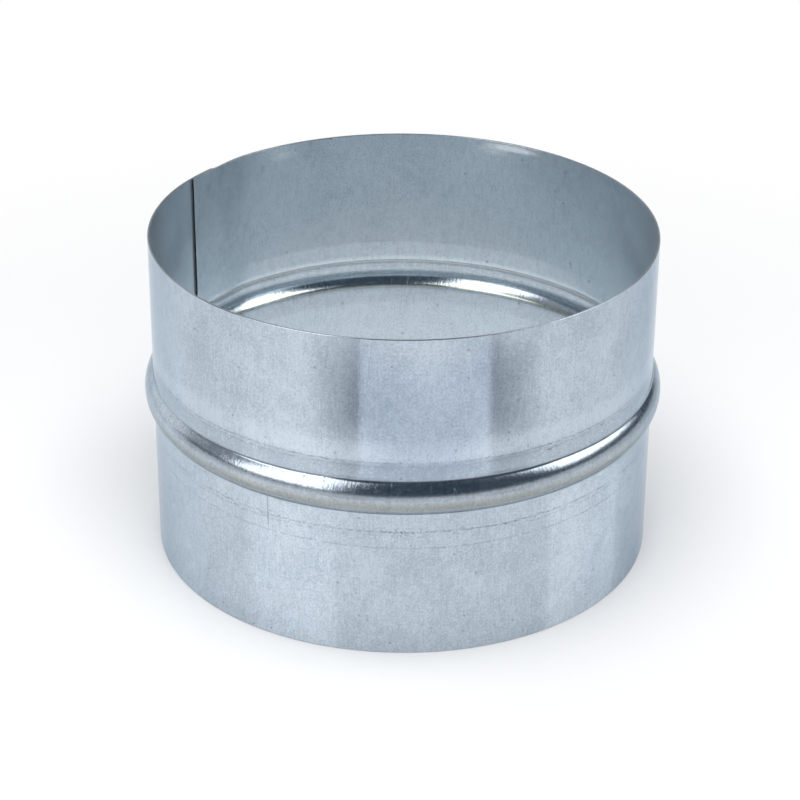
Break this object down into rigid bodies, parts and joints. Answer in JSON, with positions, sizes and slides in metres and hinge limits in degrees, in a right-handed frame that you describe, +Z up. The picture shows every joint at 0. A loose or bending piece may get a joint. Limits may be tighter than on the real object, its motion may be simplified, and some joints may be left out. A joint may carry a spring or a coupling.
{
  "type": "duct connector",
  "caption": "Round galvanised sheet sleeve with a lapped seam and a rolled stop bead, for joining two lengths of round duct end to end.",
  "frame": {"origin": "middle of the lower rim, on the duct axis, at the level the sleeve stands on", "axes": "+Z up along the duct axis; -Y towards the viewer of the picture; the lap seam is at the back left"},
  "size_m": [0.1546, 0.1546, 0.099],
  "materials": {
    "galvanised_sheet": "hot-dip galvanised, fine spangle, satin"
  },
  "bodies": {
    "root": {"connector_sleeve": "galvanised_sheet"}
  },
  "joints": []
}
